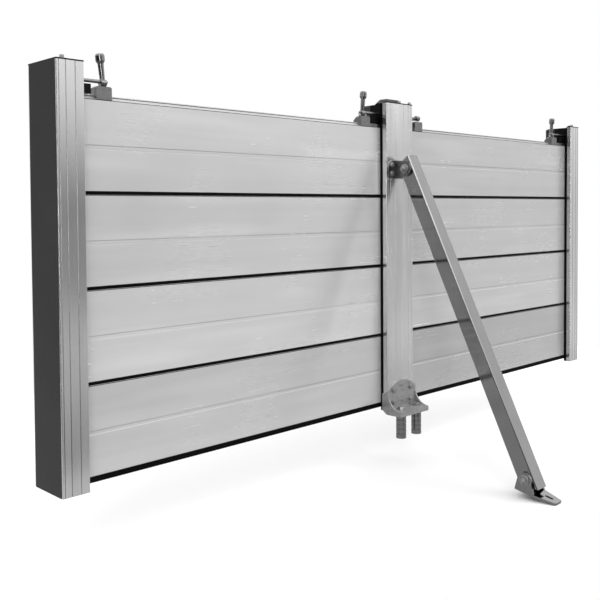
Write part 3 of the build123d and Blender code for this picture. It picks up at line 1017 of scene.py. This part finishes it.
class BARRIER_OT_brace_pins(bpy.types.Operator):
    """Pins of the brace, with a dished disc and a hexagon at the left end"""

    bl_idname = "barrier.brace_pins"
    bl_label = "Brace pins"

    def execute(self, context):
        disc = context.scene.barrier_fittings.pin_disc
        shank, corner, head, end, thick, turn = 0.006, 0.009, 0.006, 0.005, 0.0035, 0.2
        for node, body in (("brace_top_pin", "barrier"), ("brace_foot_pin", "foot")):
            low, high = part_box(node)
            middle = (low + high) / 2
            seat = low.x + head + end + thick
            master = model_brace_pin(node + "_master", shank, high.x - seat, end, disc, thick, corner, head)
            pin = place_copy(master, node + "_bolt", (seat, middle.y, middle.z), leftward, turn)
            dress(pin, body, "hardware")
            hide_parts(node)
            bpy.data.objects.remove(master)
        return {"FINISHED"}


class BARRIER_OT_cap_bolts(bpy.types.Operator):
    """Hexagon bolts on the post caps"""

    bl_idname = "barrier.cap_bolts"
    bl_label = "Cap bolts"

    def execute(self, context):
        flats = context.scene.barrier_fittings.cap_flats
        head, washer, turn, front_inset = 0.006, 0.0011, 0.3, 0.007
        left, middle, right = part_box("left_cap"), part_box("middle_cap"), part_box("right_cap")
        left_inset, middle_offset, corner_inset, right_inset = 0.017, 0.007, 0.006, 0.04
        row, top = left[0].y + front_inset, left[1].z
        spots = (left[0].x + left_inset, middle_offset, middle[1].x - corner_inset, right[1].x - right_inset)
        master = model_hex_bolt("cap_bolt", flats, head, flats * 0.66, washer)
        spread_copies(master, [((x, row, top), upward, turn) for x in spots])
        return {"FINISHED"}


class BARRIER_OT_clamp_fasteners(bpy.types.Operator):
    """Bolts on the clamp plates and studs that guide the pressing blocks"""

    bl_idname = "barrier.clamp_fasteners"
    bl_label = "Clamp fasteners"

    def execute(self, context):
        radius = context.scene.barrier_fittings.screw_radius
        plates = {"middle_left_lever_turn": -0.04, "right_lever_turn": 1.038}
        bolt_spots = ((-0.031, 0.879), (-0.029, 0.867))
        bolt_head, bolt_socket, bolt_turn = 0.003, 0.0014, 0.2
        stud_reach, stud_inset = 0.012, 0.002
        stud_height, stud_socket, stud_turn = 0.0075, 0.0016, 0.4
        block_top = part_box("clamp_blocks")[1].z
        bolts, studs = [], []
        for joint, plate in plates.items():
            x, y = pivot(joint)[:2]
            bolts += [((plate, place, height), leftward, bolt_turn) for place, height in bolt_spots]
            studs += [
                ((x + side * stud_reach, y - stud_inset, block_top), upward, stud_turn) for side in (-1, 1)
            ]
        spread_copies(model_pan_screw("clamp_plate_bolt", radius * 0.62, bolt_head, bolt_socket), bolts)
        spread_copies(model_pan_screw("clamp_stud", radius * 0.66, stud_height, stud_socket), studs)
        return {"FINISHED"}


class BARRIER_OT_clamp_back_plates(bpy.types.Operator):
    """Black backing plates that carry on the hooked clamps along the posts' webs"""

    bl_idname = "barrier.clamp_back_plates"
    bl_label = "Clamp back plates"

    def execute(self, context):
        depth, thick, gap = 0.036, 0.0055, 0.0005
        webs = {"middle_back_plate": -0.034, "right_back_plate": 1.044}
        foot, below_top = 0.8265, 0.001
        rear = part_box("clamp_brackets")[1].y
        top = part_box("middle_post")[1].z - below_top
        for name, web in webs.items():
            master = model_back_plate(name, depth, top - foot, thick)
            at = (web, rear + gap + depth / 2, (foot + top) / 2)
            dress(place_copy(master, name + "_fitted", at, leftward), "barrier", "dark_steel")
            bpy.data.objects.remove(master)
        return {"FINISHED"}


class BARRIER_OT_stage(bpy.types.Operator):
    """Floor, soft light and camera"""

    bl_idname = "barrier.stage"
    bl_label = "Stage"

    def lay_floor(self, stage):
        """A pale floor that ends a little in front of the part and looks darker in mirroring metal."""
        gap, side_room, depth_room, front_room = 0.0005, 1.2, 1.6, 0.09
        low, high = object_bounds()
        half_depth = (high.y - low.y + depth_room) / 2
        deselect()
        bpy.ops.mesh.primitive_plane_add(size=2, location=(0, 0, low.z - gap))
        floor = bpy.context.object
        floor.name = "floor"
        floor.scale = (high.x + side_room, half_depth, 1)
        floor.location.y = low.y - front_room + half_depth
        bpy.ops.object.transform_apply(location=True, rotation=True, scale=True)
        material, shader, place = new_finish("floor", specular=0.2)
        clouds = place.noise(1.5)
        tone = tuple(stage.floor)
        pale = clouds.blend(shaded(tone, 0.985), tone)
        mirrored = place.node("ShaderNodeLightPath", output="Is Glossy Ray")
        connect(shader, mirrored.blend(pale, grey(stage.mirrored)), 0.85 + 0.05 * (clouds - 0.5))
        floor.data.materials.append(material)
        floor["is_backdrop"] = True

    def light_studio(self, stage):
        """Soft light from all round, a window and an upright strip, and plain white to the camera."""
        front_left, back_right = (-0.71, -0.7, 0.0), (0.72, 0.69, 0.0)
        strip_way, window_way = (-0.588, -0.809, 0.0), (-0.62, -0.56, 0.55)
        white = (1, 1, 1, 1)
        scene = bpy.context.scene
        world = bpy.data.worlds.new("studio")
        scene.world = world
        scene.view_settings.view_transform = "Standard"
        world.use_nodes = True
        tree = world.node_tree
        tree.nodes.clear()
        way = Field(tree).node("ShaderNodeTexCoord", output="Generated")
        rise, across = way.part("Z"), way.part("X")

        horizon = stage.horizon + (stage.side - stage.horizon) * across.step(0.5, 0.95)
        horizon = horizon + way.toward(back_right).step(0.6, 0.9)
        glow = stage.ground + (stage.apron - stage.ground) * rise.step(-0.25, -0.15)
        glow = glow + (horizon - glow) * rise.step(-0.15, -0.09)
        glow = glow + (stage.sky - glow) * rise.step(0.02, 0.16)
        glow = glow + (stage.zenith - stage.sky) * rise.step(0.25, 0.9)

        # The low light is nearly dark in front on the left, and weaker all along the left.
        low_front = way.toward(front_left).step(0.3, 0.85) * (1.0 - rise.step(0.28, 0.42))
        glow = glow * (1.0 - 0.92 * low_front)
        low_left = (0.0 - across).step(0.45, 0.8) * (1.0 - rise.step(0.15, 0.3))
        glow = glow * (1.0 - 0.7 * low_left)

        strip = way.toward(strip_way).step(0.9914, 0.9962) * (1.0 - rise.step(0.3, 0.4))
        glow = glow + stage.strip * strip * rise.step(-0.24, -0.2)
        glow = glow + stage.window * way.toward(window_way).step(0.95, 0.985)

        soft = way.node("ShaderNodeBackground", None, {"Color": white, "Strength": glow})
        plain = way.node("ShaderNodeBackground", None, {"Color": white, "Strength": 1.0})
        seen = way.node("ShaderNodeLightPath", output="Is Camera Ray")
        mixed = way.node("ShaderNodeMixShader", None, {0: seen, 1: soft, 2: plain})
        output = tree.nodes.new("ShaderNodeOutputWorld")
        tree.links.new(mixed.socket, output.inputs["Surface"])

    def hang_lamp(self, stage):
        """A large square lamp that hangs in front and faces down."""
        at, aim = Vector((1.2, -2.2, 2.6)), Vector((1.0, -2.0, -0.2))
        data = bpy.data.lights.new("floor_lamp", "AREA")
        data.energy = stage.key
        data.shape = "SQUARE"
        data.size = 1.6
        lamp = bpy.data.objects.new("floor_lamp", data)
        bpy.context.scene.collection.objects.link(lamp)
        lamp.location = at
        lamp.rotation_euler = (aim - at).to_track_quat("-Z", "Y").to_euler()

    def set_camera(self, stage):
        """A camera at the photograph's place, turned by its yaw, pitch and roll."""
        data = bpy.data.cameras.new("camera")
        camera = bpy.data.objects.new("camera", data)
        bpy.context.scene.collection.objects.link(camera)
        level = Vector((math.sin(stage.yaw), math.cos(stage.yaw), 0))
        ahead = level * math.cos(stage.pitch) + Vector(upward) * math.sin(stage.pitch)
        flat_right = Vector((math.cos(stage.yaw), -math.sin(stage.yaw), 0))
        flat_up = flat_right.cross(ahead)
        right = flat_right * math.cos(stage.roll) + flat_up * math.sin(stage.roll)
        up = flat_up * math.cos(stage.roll) - flat_right * math.sin(stage.roll)
        turn = Matrix((right, up, -ahead)).transposed().to_4x4()
        camera.matrix_world = Matrix.Translation(Vector(stage.eye)) @ turn
        data.sensor_width = 36
        data.lens = stage.lens
        data.shift_y = stage.shift
        data.clip_start = 0.01
        bpy.context.scene.camera = camera

    def execute(self, context):
        stage = context.scene.barrier_stage
        self.lay_floor(stage)
        self.light_studio(stage)
        self.hang_lamp(stage)
        self.set_camera(stage)
        return {"FINISHED"}


class BARRIER_PT_panel(bpy.types.Panel):
    """Lists the steps that dress the barrier"""

    bl_idname = "BARRIER_PT_panel"
    bl_label = "Flood barrier"
    bl_space_type = "VIEW_3D"
    bl_region_type = "UI"
    bl_category = "Barrier"

    def draw(self, context):
        for operator in operators:
            self.layout.operator(operator.bl_idname)


groups = {
    "barrier_finishes": BarrierFinishes,
    "barrier_fittings": BarrierFittings,
    "barrier_stage": BarrierStage,
}
operators = (
    BARRIER_OT_finishes,
    BARRIER_OT_bracket_bolts,
    BARRIER_OT_anchor_bolts,
    BARRIER_OT_mount_bolts,
    BARRIER_OT_brace_pins,
    BARRIER_OT_cap_bolts,
    BARRIER_OT_clamp_fasteners,
    BARRIER_OT_clamp_back_plates,
    BARRIER_OT_stage,
)


def register():
    for cls in (*groups.values(), *operators, BARRIER_PT_panel):
        bpy.utils.register_class(cls)
    for name, group in groups.items():
        setattr(bpy.types.Scene, name, bpy.props.PointerProperty(type=group))


def unregister():
    for name in groups:
        delattr(bpy.types.Scene, name)
    for cls in reversed((*groups.values(), *operators, BARRIER_PT_panel)):
        bpy.utils.unregister_class(cls)


def main():
    register()
    bpy.ops.barrier.finishes()
    bpy.ops.barrier.bracket_bolts()
    bpy.ops.barrier.anchor_bolts()
    bpy.ops.barrier.mount_bolts()
    bpy.ops.barrier.brace_pins()
    bpy.ops.barrier.cap_bolts()
    bpy.ops.barrier.clamp_fasteners()
    bpy.ops.barrier.clamp_back_plates()
    bpy.ops.barrier.stage()


if __name__ == "__main__":
    main()
